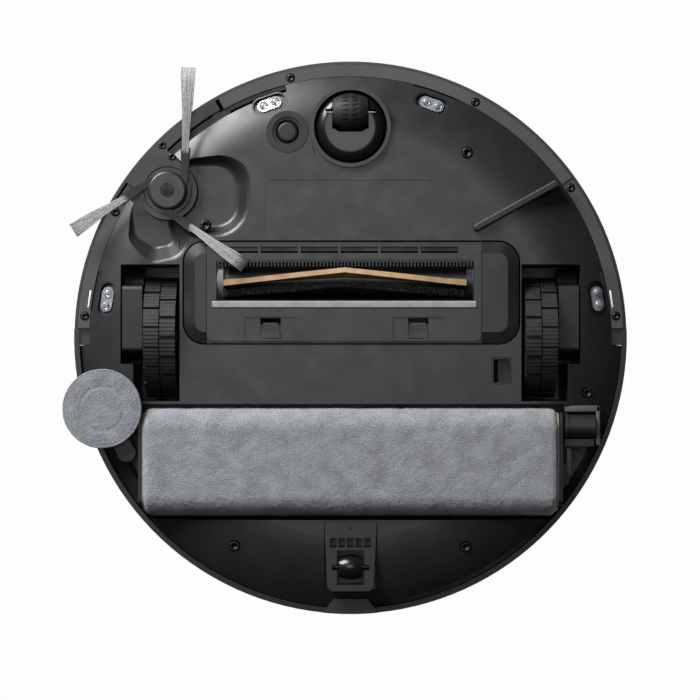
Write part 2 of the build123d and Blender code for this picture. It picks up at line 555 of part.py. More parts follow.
def wheel_tyre():
    """Rubber tyre of the wheel at -X with two staggered rows of blocks."""
    inner, outer = -WHEEL_X + WHEEL_W / 2, -WHEEL_X - WHEEL_W / 2
    tyre = rod(0, WHEEL_Z, WHEEL_R, outer, inner) - rod(0, WHEEL_Z, 29.95, outer - 1, inner + 1)
    middle = -WHEEL_X
    groove = rod(0, WHEEL_Z, 40, middle - 0.4, middle + 0.4)
    cuts = [groove - rod(0, WHEEL_Z, WHEEL_R - TREAD_DEPTH, -200, 0)]
    pitch = 360 / TREAD_BLOCKS
    for row, (x0, x1) in enumerate([(outer - 1, middle), (middle, inner + 1)]):
        for i in range(TREAD_BLOCKS):
            turn = Pos(0, 0, WHEEL_Z) * Rot(pitch * (i + row / 2), 0, 0)
            z0 = WHEEL_R - TREAD_DEPTH
            cuts.append(turn * block(x0, x1, -TREAD_GROOVE / 2, TREAD_GROOVE / 2, z0, z0 + 9))
    return tyre - cuts


# ---------------------------------------------------------------- side brush
def side_brush_arm():
    """Swing-out arm of the side brush: a cup for the hub, a plate and a bar that follow the rim."""
    arm = post(HUB_X, HUB_Y, HOUSING_R, ARM_Z0 - 1.6, ARM_Z1)
    arm += sector(150, RING_OUT, ARM_A0, ARM_A1, ARM_PLATE_Z, ARM_Z1)
    arm += sector(166.0, RING_OUT, ARM_A1 - 0.2, ARM_A2, ARM_PLATE_Z, ARM_Z1)
    arm += post(*polar(RING_SCREW_R, ARM_A1 - 1.0), 3.0, ARM_PLATE_Z, ARM_Z1)
    arm += post(*polar(ARM_PIVOT_R, ARM_PIVOT_ANGLE), 2.0, ARM_Z1 - 0.5, 32)
    arm -= post(HUB_X, HUB_Y, 15.4, 0, 12.6)
    arm -= post(HUB_X, HUB_Y, 3.05, 0, 19.6)
    return arm


def side_brush_hub():
    """Round cap of the side brush with its flange and drive shaft."""
    cap = fillet(post(HUB_X, HUB_Y, HUB_R, 3.6, 10.4).edges().group_by(Axis.Z)[0], 2.2)
    cap += post(HUB_X, HUB_Y, 14.6, 9.0, 12.2) + post(HUB_X, HUB_Y, 3.0, 12, 19.3)
    for angle in TUFT_ANGLES:
        cap -= tuft_place(angle) * block(0, 24, -2.8 + TUFT_OFFSET, 2.8 + TUFT_OFFSET, 4.7, 8.0)
    return cap - post(HUB_X, HUB_Y, 4.4, 0, 5.2) - post(HUB_X, HUB_Y, 1.3, 0, 16)


def side_brush_screw():
    """Centre screw of the side brush."""
    return screw(HUB_X, HUB_Y, 3.4, 4.2, 10.0)


def side_brush_rubbers():
    """Three flexible rubber roots of the side brush."""
    pieces = []
    for angle in TUFT_ANGLES:
        y = TUFT_OFFSET
        outline = [(3.5, y - 1.7), (RUBBER_R, y - 3.1), (RUBBER_R, y + 3.1), (3.5, y + 1.7)]
        pieces.append(tuft_place(angle) * polygon(outline, 4.8, 7.9) - post(HUB_X, HUB_Y, 4.5, 0, 9))
    return group(pieces)


def side_brush_bristles():
    """Three bristle tufts that slope down to the floor and spread along it."""
    pieces = []
    for angle, reach in zip(TUFT_ANGLES, TUFT_REACH):
        y = TUFT_OFFSET
        plan = [(RUBBER_R + 0.1, y - 2.3), (reach, y - 4.8), (reach, y + 4.8), (RUBBER_R + 0.1, y + 2.3)]
        side = [(20, 4.9), (FLAT_FROM, 0.4), (90, 0.4), (90, 1.5), (FLAT_FROM, 1.5), (30, 7.2), (20, 7.2)]
        profile = extrude(Plane.XZ * make_face(Polyline(*side, close=True)), 15, both=True)
        pieces.append(tuft_place(angle) * (polygon(plan, 0, 9) & (Pos(0, y, 0) * profile)))
    return group(pieces)


# ---------------------------------------------------------------- brush deck
def brush_deck():
    """Floating brush chamber with its flat frame."""
    x0, x1, y0, y1 = DECK_X0, DECK_X1, DECK_Y0, DECK_Y1
    deck = rounded_plate(x0, x1, y0, y1, DECK_CORNER, DECK_Z, 12)
    deck = chamfer(deck.edges().group_by(Axis.Z)[0], 1.9, DECK_BEVEL)
    deck += block(BRUSH_X0 - 3.5, BRUSH_X1 + 3.5, y0 + 1, -12, 11, DECK_TOP)
    deck -= rod(BRUSH_Y, BRUSH_Z, BRUSH_R + 0.8, BRUSH_X0 - 0.6, BRUSH_X1 + 0.6)
    rear, front = BRUSH_Y - BRUSH_R - 0.8, BRUSH_Y + BRUSH_R + 0.8
    deck -= block(BRUSH_X0 - 0.6, BRUSH_X1 + 0.6, rear, front, 0, BRUSH_Z)
    deck -= rounded_plate(GUARD_X0 - 0.4, GUARD_X1 + 0.4, y0 - 5, y1 + 5, 2, 0, DECK_Z + GUARD_T + 0.4)
    deck -= block(GUARD_X0 + 8, GUARD_X1 - 8, -57.2, -52.8, 0, 13.5)
    for x in LATCH_X:
        deck -= block(x - 4, x + 4, -8.4, 0.6, 0, 12.1) + block(x - 6.6, x + 6.6, -12.8, -8.2, 0, 12.1)
    deck -= block(-20, 20, BRUSH_Y + 12, -11, 26, 36)
    deck -= rod(BRUSH_Y, BRUSH_Z, 5.05, BRUSH_X0 - 4, BRUSH_X1 + 4)
    return deck


def brush_motor():
    """Motor and gear case at the end of the brush chamber."""
    case = block(-100, BRUSH_X0 - 3.7, -52, -15, 12.2, 40.5)
    case = fillet(case.edges().filter_by(Axis.X), 4)
    case += block(-100, -92, -20, 0.5, 12.2, 31)
    return case + rod(-4.6, 20.2, 6.6, -93, -40)


def brush_core():
    """Core of the main brush with its end discs, which keep hair out of the bearings."""
    core = rod(BRUSH_Y, BRUSH_Z, CORE_R, BRUSH_X0 + 1, BRUSH_X1 - 1)
    for x0, x1 in ((BRUSH_X0, BRUSH_X0 + END_DISC_T), (BRUSH_X1 - END_DISC_T, BRUSH_X1)):
        core += rod(BRUSH_Y, BRUSH_Z, END_DISC_R, x0, x1)
    return core + rod(BRUSH_Y, BRUSH_Z, 5.0, BRUSH_X0 - 3.4, BRUSH_X1 + 3.4)


def chevron_row(turn, r0, r1, thick):
    """One row along the brush that leads from the middle to both ends."""
    halves = []
    middle = (BRUSH_X0 + BRUSH_X1) / 2
    for end in (BRUSH_X0 + END_DISC_T + 0.3, BRUSH_X1 - END_DISC_T - 0.3):
        sections = []
        for i in range(7):
            x = middle + (end - middle) * i / 6
            angle = turn + BLADE_MID + BLADE_LEAD * i / 6
            place = Pos(x, BRUSH_Y, BRUSH_Z) * Rot(angle, 0, 0) * Pos(0, 0, -(r0 + r1) / 2)
            sections.append(place * Rot(0, 90, 0) * Rectangle(r1 - r0, thick))
        halves.append(loft(sections, ruled=True))
    return halves[0] + halves[1]


def brush_blades():
    """Rubber chevron blades of the main brush."""
    turns = [360 / BRUSH_ROWS * i for i in range(BRUSH_ROWS)]
    return group([chevron_row(turn, CORE_R + 0.06, BRUSH_R, 3.2) for turn in turns])


def brush_bristles():
    """Bristle rows between the blades."""
    turns = [360 / BRUSH_ROWS * i + ROW_SHIFT for i in range(BRUSH_ROWS)]
    return group([chevron_row(turn, CORE_R + 0.06, BRUSH_R - 0.4, 4.6) for turn in turns])


def brush_guard():
    """Removable frame round the mouth that keeps the main brush in."""
    z0, z1 = DECK_Z + 0.2, DECK_Z + GUARD_T
    guard = rounded_plate(GUARD_X0, GUARD_X1, GUARD_Y0, GUARD_Y1, 4, z0, z1)
    guard -= block(MOUTH_X0, MOUTH_X1, MOUTH_Y0, MOUTH_Y1, 0, 20)
    for i in range(6):
        x = -81.4 + i * 25.1
        guard -= block(x, x + 23.4, -57.0, -53.0, 0, 20)
    for x in LATCH_X:
        guard -= block(x - 16.4, x + 16.4, -12.9, 0.9, 0, z0 + 0.8)
        guard -= block(x - 6.4, x + 6.4, -12.6, 0.6, 0, 20)
    return guard - block(GUARD_X0 + 3, GUARD_X1 - 3, -22.9, -18.2, 0, z0 + 0.8)


def comb_strip():
    """Comb that cuts hair off the main brush, along the front of the mouth."""
    z0, z1 = DECK_Z + 0.3, DECK_Z + 1.3
    teeth = []
    for i in range(COMB_TEETH):
        x = MOUTH_X0 + 0.9 + COMB_PITCH * i
        teeth.append(block(x, x + COMB_PITCH / 2, -47.7, -44.6, z0, z1))
    return block(MOUTH_X0 + 0.1, MOUTH_X1 - 0.1, -48.8, -47.4, z0, z1) + teeth


def scraper_strip():
    """Soft lip along the rear of the mouth."""
    strip = block(GUARD_X0 + 3.2, GUARD_X1 - 3.2, -22.8, -18.4, DECK_Z - 0.6, DECK_Z + 0.95)
    return chamfer(strip.edges().filter_by(Axis.X).group_by(Axis.Z)[0], 0.7)


def latch(x):
    """Sliding catch of the brush guard."""
    outline = [(x - 4.6, -9.2), (x + 4.6, -9.2), (x + 6.1, 0.3), (x - 6.1, 0.3)]
    tab = polygon(outline, DECK_Z + 0.3, DECK_Z + 1.9)
    tab += block(x - 3.4, x + 3.4, -4.2, 0.0, DECK_Z + 1.8, DECK_Z + 4.6)
    for y in (-7.6, -6.0, -4.4):
        tab -= block(x - 4.6, x + 4.6, y, y + 0.7, 0, DECK_Z + 0.9)
    return tab


# ---------------------------------------------------------------- mop
def obround(x0, x1, r):
    """The long rounded section of the mop belt, extruded along X."""
    ya, yb = MOP_Y0 + MOP_R, MOP_Y1 - MOP_R
    body = rod(ya, MOP_Z, r, x0, x1) + rod(yb, MOP_Z, r, x0, x1)
    return body + block(x0, x1, ya, yb, MOP_Z - r, MOP_Z + r)


def mop_belt():
    """Fabric belt of the mop, a soft loop round two rollers."""
    belt = obround(-MOP_X, MOP_X, MOP_R) - obround(-200, 200, MOP_R - BELT_T)
    return belt & rounded_plate(-MOP_X, MOP_X, MOP_Y0, MOP_Y1, BELT_CORNER, -5, 50)


def mop_rollers():
    """Drive roller and idler roller of the mop belt, with their shafts."""
    rollers = {}
    for name, y in (("drive_roller", MOP_Y0 + MOP_R), ("idler_roller", MOP_Y1 - MOP_R)):
        rollers[name] = rod(y, MOP_Z, ROLLER_R, -125.4, 125.4) + rod(y, MOP_Z, 2.5, -133.4, 133.6)
    return rollers


def mop_frame():
    """Carriage of the mop: two end plates joined by a bridge above the belt."""
    frame = block(-133.2, 133.2, 52, 104, 29.6, 32.4)
    for side in (-1, 1):
        x0, x1 = sorted((side * 131.0, side * 133.2))
        plate = block(x0, x1, 47, 106, 5.7, 32.4)
        frame += fillet(plate.edges().filter_by(Axis.X), 4)
    frame += block(133.0, 137.6, 80, 93, 14, 30)
    for y in (MOP_Y0 + MOP_R, MOP_Y1 - MOP_R):
        frame -= rod(y, MOP_Z, 2.55, -200, 200)
    return frame & post(0, 0, 171, 0, 99)


def mop_motor():
    """Gear motor of the mop at the +X end, with its round can and bracket."""
    motor = rod(56.4, 16.5, 8.6, 136.4, 154.0) + rod(56.4, 16.5, 9.6, 134.6, 137.0)
    motor += block(134.6, 153.0, 64.0, 68.4, 9.5, 30) + block(134.6, 153.0, 56, 68.4, 25, 30)
    return motor & post(0, 0, WALL_R + 2.4, 0, 99)


def edge_pad_arm():
    """Arm that swings the edge pad out past the body."""
    z0, z1 = PAD_ARM_Z, PAD_ARM_Z + 3.6
    arm = post(PAD_X, PAD_Y, 13.0, z0, z1) + post(PAD_PIVOT_X, PAD_PIVOT_Y, 6.0, z0, 16.5)
    dx, dy = PAD_PIVOT_X - PAD_X, PAD_PIVOT_Y - PAD_Y
    length = sqrt(dx * dx + dy * dy)
    turn = Rot(0, 0, degrees(atan2(dy, dx)))
    bar = Pos(PAD_X + dx / 2, PAD_Y + dy / 2, (z0 + z1) / 2) * turn * Box(length, 11, z1 - z0)
    arm += bar + post(PAD_PIVOT_X, PAD_PIVOT_Y, 3.0, 16, SIDE_POCKET_TOP + 1.6)
    return arm - post(PAD_X, PAD_Y, 3.05, 0, z1 - 0.9)


def edge_pad_holder():
    """Disc that carries and turns the edge pad."""
    disc = post(PAD_X, PAD_Y, 21.5, PAD_Z1 + 0.05, PAD_ARM_Z - 0.3)
    return disc + post(PAD_X, PAD_Y, 3.0, PAD_ARM_Z - 0.4, PAD_ARM_Z + 2.4)


def edge_pad():
    """Round mopping pad of fabric."""
    pad = post(PAD_X, PAD_Y, PAD_R, PAD_Z0, PAD_Z1)
    return fillet(pad.edges(), 1.6)


# ---------------------------------------------------------------- inside
def battery_pack():
    """Battery between the brush bay and the mop bay."""
    return fillet(block(-84, 82, 9.4, 37.6, FLAT_Z + SKIN + 0.3, 42).edges().filter_by(Axis.X), 5)


def main_board():
    """Circuit board with its larger components."""
    board = block(-78, 78, 58, 136, 56, 57.6)
    for x, y, w in ((-40, 84, 18), (22, 78, 26), (40, 116, 14), (-30, 118, 22)):
        board += block(x - w / 2, x + w / 2, y - w / 2, y + w / 2, 57.5, 60)
    return board


def fan_housing():
    """Scroll of the suction fan."""
    body = post(FAN_X, FAN_Y, FAN_R, FAN_Z, FAN_Z + 34)
    body -= post(FAN_X, FAN_Y, FAN_R - 2, FAN_Z + 2, FAN_Z + 32)
    return body - post(FAN_X, FAN_Y, 9, FAN_Z + 30, FAN_Z + 36)


def fan_impeller():
    """Bladed wheel of the suction fan."""
    z = FAN_Z + 4
    wheel = post(FAN_X, FAN_Y, 18.5, z, z + 2) + post(FAN_X, FAN_Y, 5, z, z + 20)
    for i in range(9):
        blade = block(4, 18, -0.6, 0.6, z + 1.5, z + 18)
        wheel += Pos(FAN_X, FAN_Y) * Rot(0, 0, 40 * i) * blade
    return wheel


def bin_bay():
    """Open tray that holds the dustbin under the lid."""
    x, y0, y1, z0 = BIN_X + 1, BIN_Y0 - 1, BIN_Y1 + 1, BIN_Z0 - 1
    tray = block(-x - 1.6, x + 1.6, y0 - 1.6, y1 + 1.6, z0 - 1.6, 77) - block(-x, x, y0, y1, z0, 99)
    return tray - block(-20, 20, y1 - 2, y1 + 3, 52, 66)


def dustbin():
    """Removable bin, open towards the filter, with its inlet."""
    box = block(-BIN_X, BIN_X, BIN_Y0, BIN_Y1, BIN_Z0, BIN_Z1)
    box = fillet(box.edges().filter_by(Axis.Z), 6)
    box -= block(-BIN_X + 2, BIN_X - 2, BIN_Y0 + 2, BIN_Y1 - 2, BIN_Z0 + 2, BIN_Z1 - 8)
    box -= block(-BIN_X + 10, BIN_X - 10, BIN_Y0 + 10, BIN_Y1 - 10, BIN_Z0 + 2, BIN_Z1 + 1)
    return box - block(-18, 18, BIN_Y1 - 3, BIN_Y1 + 3, 53, 65)


def bin_filter():
    """Pleated filter on top of the bin."""
    frame = block(-BIN_X + 10.1, BIN_X - 10.1, BIN_Y0 + 10.1, BIN_Y1 - 10.1, BIN_Z1 - 7, BIN_Z1 - 1)
    y0, y1 = BIN_Y0 + 14, BIN_Y1 - 14
    pleats = [block(-56.5 + 4 * i, -54.5 + 4 * i, y0, y1, BIN_Z1 - 4, BIN_Z1) for i in range(28)]
    return frame - pleats


# ---------------------------------------------------------------- top side
def lid():
    """Hinged lid over the dustbin."""
    plate = post(0, 0, LID_R, TOP_Z - LID_T + 0.1, TOP_Z) & block(-200, 200, -200, LID_Y, 0, 120)
    plate += rod(LID_Y, TOP_Z - LID_HINGE_R, LID_HINGE_R, -LID_R + 1.5, LID_R - 1.5)
    return plate - post(0, -LID_R, 9, 0, 120)


def button(x, y):
    """Round push button in the top cover."""
    cap = post(x, y, BUTTON_R, TOP_Z - 6, TOP_Z + 0.6)
    return fillet(cap.edges().group_by(Axis.Z)[-1], 0.5)


def lidar_turret():
    """Raised turret with a window gap all round, carried on six posts."""
    turret = post(0, TURRET_Y, TURRET_R, TURRET_TOP - 4, TURRET_TOP)
    turret = fillet(turret.edges().group_by(Axis.Z)[-1], 2.5)
    turret += post(0, TURRET_Y, TURRET_R, TOP_Z, TOP_Z + 2.4)
    turret -= post(0, TURRET_Y, TURRET_R - 8, TOP_Z - 1, TOP_Z + 2.5)
    for i in range(6):
        pillar = post(TURRET_R - 4, 0, 2.4, TOP_Z + 2, TURRET_TOP - 3)
        turret += Pos(0, TURRET_Y) * Rot(0, 0, 60 * i + 30) * pillar
    return turret


def lidar_rotor():
    """Spinning head of the laser distance sensor."""
    head = post(0, TURRET_Y, 30, 80, 95) - block(-12, 12, TURRET_Y - 31, TURRET_Y - 22, 86, 93)
    return fillet(head.edges().group_by(Axis.Z)[-1], 1.5)


def all_pieces():
    """Every sub-part by its name."""
    pieces = {
        "bottom_cover": bottom_cover(),
        "front_ring": ring_piece(),
        "top_cover": top_cover(),
        "rear_tab": rear_tab(),
        "underside_screws": underside_screws(),
        "carpet_sensor": carpet_sensor(),
        "cliff_housings": cliff_housings(),
        "cliff_lenses": cliff_lenses(),
        "floor_sensor": floor_sensor(),
        "deflector_fin": deflector_fin(),
        "rear_plate": rear_plate(),
        "rear_roller": rear_roller(),
        "charging_contacts": charging_contacts(),
        "bumper_shell": bumper_shell(),
        "bumper_window": bumper_window(),
        "bumper_springs": bumper_springs(),
        "caster_housing": caster_housing(),
        "caster_axle": caster_axle(),
        "caster_wheel": caster_wheel(),
        "side_brush_arm": side_brush_arm(),
        "side_brush_hub": side_brush_hub(),
        "side_brush_screw": side_brush_screw(),
        "side_brush_rubbers": side_brush_rubbers(),
        "side_brush_bristles": side_brush_bristles(),
        "brush_deck": brush_deck(),
        "brush_motor": brush_motor(),
        "brush_core": brush_core(),
        "brush_blades": brush_blades(),
        "brush_bristles": brush_bristles(),
        "brush_guard": brush_guard(),
        "comb_strip": comb_strip(),
        "scraper_strip": scraper_strip(),
        "right_latch": latch(LATCH_X[0]),
        "left_latch": latch(LATCH_X[1]),
        "mop_frame": mop_frame(),
        "mop_belt": mop_belt(),
        "mop_motor": mop_motor(),
        "edge_pad_arm": edge_pad_arm(),
        "edge_pad_holder": edge_pad_holder(),
        "edge_pad": edge_pad(),
        "battery_pack": battery_pack(),
        "main_board": main_board(),
        "fan_housing": fan_housing(),
        "fan_impeller": fan_impeller(),
        "bin_bay": bin_bay(),
        "dustbin": dustbin(),
        "bin_filter": bin_filter(),
        "lid": lid(),
        "lidar_turret": lidar_turret(),
        "lidar_rotor": lidar_rotor(),
    }
    pieces.update(mop_rollers())
    for name, (x, y) in BUTTONS.items():
        pieces[name] = button(x, y)
    for side, name in ((-1, "right"), (1, "left")):
        pieces[f"{name}_wheel_housing"] = side_of(side, wheel_housing())
        pieces[f"{name}_wheel_hub"] = side_of(side, wheel_hub())
        pieces[f"{name}_tyre"] = side_of(side, wheel_tyre())
    return pieces


if __name__ == "__main__":
    os.makedirs("parts", exist_ok=True)
    for node, piece in all_pieces().items():
        write(node, piece)
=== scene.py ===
import json
import random
from math import cos, pi, radians, sin, sqrt

import bmesh
import bpy
from mathutils import Matrix, Vector, noise


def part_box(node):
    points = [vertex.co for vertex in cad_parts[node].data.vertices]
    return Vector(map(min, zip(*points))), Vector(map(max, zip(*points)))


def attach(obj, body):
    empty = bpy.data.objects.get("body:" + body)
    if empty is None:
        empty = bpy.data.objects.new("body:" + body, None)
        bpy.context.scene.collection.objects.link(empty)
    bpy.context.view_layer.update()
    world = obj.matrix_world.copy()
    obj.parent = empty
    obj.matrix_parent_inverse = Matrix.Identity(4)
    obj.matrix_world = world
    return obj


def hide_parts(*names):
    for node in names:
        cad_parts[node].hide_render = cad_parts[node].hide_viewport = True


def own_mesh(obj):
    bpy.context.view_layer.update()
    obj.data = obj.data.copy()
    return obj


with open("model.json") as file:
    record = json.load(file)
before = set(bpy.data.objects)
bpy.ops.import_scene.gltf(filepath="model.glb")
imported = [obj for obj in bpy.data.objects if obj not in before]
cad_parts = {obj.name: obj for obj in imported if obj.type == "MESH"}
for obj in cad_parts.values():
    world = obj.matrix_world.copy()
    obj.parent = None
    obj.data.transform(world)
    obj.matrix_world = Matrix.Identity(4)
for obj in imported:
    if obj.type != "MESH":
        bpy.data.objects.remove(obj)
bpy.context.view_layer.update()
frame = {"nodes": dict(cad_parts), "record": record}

MM = 0.001

# Mop belt and edge pad
PILE_DEPTH, PAD_PILE_DEPTH = 0.55 * MM, 0.3 * MM
PILE_SIZE, PAD_PILE_SIZE = 1.5 * MM, 1.4 * MM
FLEECE_T = 1.6 * MM
END_GAP = 0.2 * MM
END_ROLL_LENGTH, END_ROLL_DROP, END_ROLL_PINCH = 5.5 * MM, 2.8 * MM, 2.4 * MM
HEM_SINK, HEM_WIDTH, HEM_T = 3.4 * MM, 3.0 * MM, 1.0 * MM
HEM_REACH = 0.4 * MM

# Side brush: direction of each tuft in degrees, and how far it reaches, in millimetres
TUFTS = ((-87.7, 77.0), (147.3, 63.0), (35.4, 67.5))
TUFT_START, TUFT_OFFSET, TUFT_STEPS = 21.0, 10.4, 6
TUFT_HALF_WIDTH, TUFT_SPREAD, SPREAD_START = 1.8, 2.7, 27.0
SAG_START, SAG_END = 24.0, 56.0
FIBRE_R = 0.21 * MM

# Main brush: direction of each row in degrees, lengths in millimetres
BRISTLE_ROWS = (27.0, 207.0)
CHEVRON_START, CHEVRON_TURN = -21.0, 28.0
BRISTLE_FAN = (-7.5, -2.5, 2.5, 7.5)
CORE_R, BRISTLE_LENGTH = 9.1, 7.3
BRISTLE_R0, BRISTLE_R1 = 0.22 * MM, 0.14 * MM

# Springs and screws
WIRE_R, SPRING_TURNS = 0.4 * MM, 4.0
SPRING_END_GAP, SPRING_SIDE_GAP = 0.4 * MM, 0.45 * MM
HEAD_SINK = 0.2 * MM
ARM_SCREWS = ((-119.0, -121.5), (-112.9, -114.3))
ARM_SCREW_Z, ARM_SCREW_R = 16.9 * MM, 2.5 * MM

# Switch levers and motor bracket, in millimetres
LEVER_ANGLES, LEVER_R, LEVER_Z = (-171.6, -8.4), 166.9, 18.9
LEVER_SIZE = (1.1, 11.0, 0.5)
BRACKET_BARS = (
    ((134.8, 42.9, 11.5), (157.2, 46.9, 14.5)),
    ((154.6, 42.9, 11.5), (157.2, 68.0, 14.5)),
    ((136.0, 69.4, 12.5), (139.4, 86.0, 15.5)),
)

# Materials
WHEEL_AXIS_Z = 0.0385
TREAD_RIBS = 19 * 5.0
CORE_END_IN, CORE_END_OUT = 0.0768, 0.0841


# ---------------------------------------------------------------- colours and nodes
def linear(colour):
    """A colour as RGBA in linear light, from its sRGB hex value."""
    parts = [int(colour[i : i + 2], 16) / 255 for i in (1, 3, 5)]
    return [c / 12.92 if c <= 0.04045 else ((c + 0.055) / 1.055) ** 2.4 for c in parts] + [1.0]


def add(tree, kind, inputs=None, **settings):
    """Adds a shader node with its settings; inputs are values or other nodes' outputs."""
    node = tree.nodes.new(kind)
    for name, value in settings.items():
        setattr(node, name, value)
    for name, value in (inputs or {}).items():
        if isinstance(value, bpy.types.NodeSocket):
            tree.links.new(value, node.inputs[name])
        else:
            node.inputs[name].default_value = value
    return node


def material(name, colour, roughness, **shader_values):
    """A new material: its tree, its shader and the object coordinates that its patterns read."""
    mat = bpy.data.materials.new(name)
    mat.use_nodes = True
    tree = mat.node_tree
    shader = tree.nodes["Principled BSDF"]
    shader.inputs["Base Color"].default_value = linear(colour)
    shader.inputs["Roughness"].default_value = roughness
    for key, value in shader_values.items():
        shader.inputs[key.replace("_", " ")].default_value = value
    place = add(tree, "ShaderNodeTexCoord").outputs["Object"]
    return mat, tree, shader, place


def vary_colour(tree, shader, place, dark, light, size, detail=3.0):
    """Mottles the base colour between two tones; size is that of the patches, in metres."""
    cloud = add(tree, "ShaderNodeTexNoise", {"Vector": place, "Scale": 1 / size, "Detail": detail})
    ramp = add(tree, "ShaderNodeValToRGB", {"Fac": cloud.outputs["Fac"]})
    ramp.color_ramp.elements[0].position = 0.32
    ramp.color_ramp.elements[1].position = 0.68
    ramp.color_ramp.elements[0].color = linear(dark)
    ramp.color_ramp.elements[1].color = linear(light)
    tree.links.new(ramp.outputs["Color"], shader.inputs["Base Color"])


def vary_roughness(tree, shader, place, low, high, size):
    """Lets the gloss wander a little, as handled and moulded surfaces do."""
    cloud = add(tree, "ShaderNodeTexNoise", {"Vector": place, "Scale": 1 / size, "Detail": 4.0})
    span = add(tree, "ShaderNodeMapRange", {"Value": cloud.outputs["Fac"], "From Min": 0.3, "From Max": 0.7})
    span.inputs["To Min"].default_value = low
    span.inputs["To Max"].default_value = high
    tree.links.new(span.outputs["Result"], shader.inputs["Roughness"])


def raise_relief(tree, shader, height, depth, strength):
    """Lifts the surface by a height pattern; depth is its relief in metres."""
    lift = add(tree, "ShaderNodeBump", {"Height": height, "Distance": depth, "Strength": strength})
    tree.links.new(lift.outputs["Normal"], shader.inputs["Normal"])


def pebble(tree, shader, place, size, depth, strength):
    """The fine pebbled skin that a mould leaves, drawn a little coarser than real so that it shows."""
    grains = add(tree, "ShaderNodeTexNoise", {"Vector": place, "Scale": 1 / size, "Detail": 2.0})
    raise_relief(tree, shader, grains.outputs["Fac"], depth, strength)


# ---------------------------------------------------------------- materials
def spark_eroded_abs(name, dark, light, rough):
    """Moulded ABS with a satin spark-eroded grain: broad soft highlights, no mirror."""
    mat, tree, shader, place = material(name, dark, rough, IOR=1.53)
    vary_colour(tree, shader, place, dark, light, 0.03)
    vary_roughness(tree, shader, place, rough - 0.05, rough + 0.05, 0.012)
    pebble(tree, shader, place, 0.0005, 0.00003, 0.5)
    return mat


def polished_abs(name, dark, light, rough):
    """Moulded ABS from a polished tool: a sharper highlight with faint wipe marks."""
    mat, tree, shader, place = material(name, dark, rough, IOR=1.53)
    vary_colour(tree, shader, place, dark, light, 0.05)
    stretched = add(tree, "ShaderNodeMapping", {"Vector": place, "Scale": (0.12, 1.0, 1.0)})
    vary_roughness(tree, shader, stretched.outputs["Vector"], rough - 0.02, rough + 0.03, 0.02)
    pebble(tree, shader, place, 0.004, 0.00001, 0.1)
    return mat


def moulded_rubber(name, dark, light, rough):
    """Moulded rubber: matt, a little chalky, with a fine skin."""
    mat, tree, shader, place = material(name, dark, rough, IOR=1.52)
    shader.inputs["Specular IOR Level"].default_value = 0.35
    vary_colour(tree, shader, place, dark, light, 0.006)
    vary_roughness(tree, shader, place, rough - 0.08, rough + 0.06, 0.004)
    pebble(tree, shader, place, 0.0007, 0.00005, 0.5)
    return mat


def ribbed_tyre(name, dark, light, axis_height):
    """Tyre rubber whose blocks carry fine cross ribs, counted round the wheel's axle."""
    mat = moulded_rubber(name, dark, light, 0.6)
    tree = mat.node_tree
    place = add(tree, "ShaderNodeTexCoord").outputs["Object"]
    axes = add(tree, "ShaderNodeSeparateXYZ", {"Vector": place})
    up = add(tree, "ShaderNodeMath", {0: axes.outputs["Z"], 1: axis_height}, operation="SUBTRACT")
    turn = add(tree, "ShaderNodeMath", {0: axes.outputs["Y"], 1: up.outputs["Value"]}, operation="ARCTAN2")
    ribs = add(tree, "ShaderNodeMath", {0: turn.outputs["Value"], 1: TREAD_RIBS}, operation="MULTIPLY")
    wave = add(tree, "ShaderNodeMath", {0: ribs.outputs["Value"]}, operation="SINE")
    raise_relief(tree, tree.nodes["Principled BSDF"], wave.outputs["Value"], 0.0002, 0.4)
    return mat


def microfibre(name, dark, light, clump):
    """Looped polyester microfibre: soft, dull, with clumps of pile and a pale sheen at its edges."""
    mat, tree, shader, place = material(name, dark, 0.95, IOR=1.5)
    shader.inputs["Specular IOR Level"].default_value = 0.15
    shader.inputs["Sheen Weight"].default_value = 0.35
    shader.inputs["Sheen Roughness"].default_value = 0.5
    shader.inputs["Sheen Tint"].default_value = linear("#d8d9db")
    fine_inputs = {"Vector": place, "Scale": 1 / clump, "Detail": 5.0, "Roughness": 0.8}
    fine = add(tree, "ShaderNodeTexNoise", fine_inputs)
    broad = add(tree, "ShaderNodeTexNoise", {"Vector": place, "Scale": 1 / (14 * clump), "Detail": 3.0})
    weighed = add(tree, "ShaderNodeMath", {0: broad.outputs["Fac"], 1: 0.3}, operation="MULTIPLY")
    both = {0: fine.outputs["Fac"], 1: weighed.outputs["Value"]}
    mixed = add(tree, "ShaderNodeMath", both, operation="ADD")
    evened = add(tree, "ShaderNodeMath", {0: mixed.outputs["Value"], 1: 1.3}, operation="DIVIDE")
    ramp = add(tree, "ShaderNodeValToRGB", {"Fac": evened.outputs["Value"]})
    ramp.color_ramp.elements[0].position = 0.36
    ramp.color_ramp.elements[1].position = 0.62
    ramp.color_ramp.elements[0].color = linear(dark)
    ramp.color_ramp.elements[1].color = linear(light)
    tree.links.new(ramp.outputs["Color"], shader.inputs["Base Color"])
    loops = add(tree, "ShaderNodeTexVoronoi", {"Vector": place, "Scale": 1 / (0.7 * clump)})
    raise_relief(tree, shader, loops.outputs["Distance"], 0.0006, 0.8)
    return mat


def nylon_fibre(name, dark, light):
    """Extruded nylon bristle: smooth threads that catch a thin line of light."""
    mat, tree, shader, place = material(name, dark, 0.6, IOR=1.53)
    vary_colour(tree, shader, place, dark, light, 0.0015, 2.0)
    pebble(tree, shader, place, 0.0006, 0.00001, 0.2)
    return mat


def turned_steel(name, dark, light, rough):
    """Turned steel: bright metal with fine rings of the tool."""
    mat, tree, shader, place = material(name, dark, rough, Metallic=1.0)
    vary_colour(tree, shader, place, dark, light, 0.004)
    vary_roughness(tree, shader, place, rough - 0.08, rough + 0.1, 0.002)
    pebble(tree, shader, place, 0.0004, 0.00002, 0.4)
    return mat


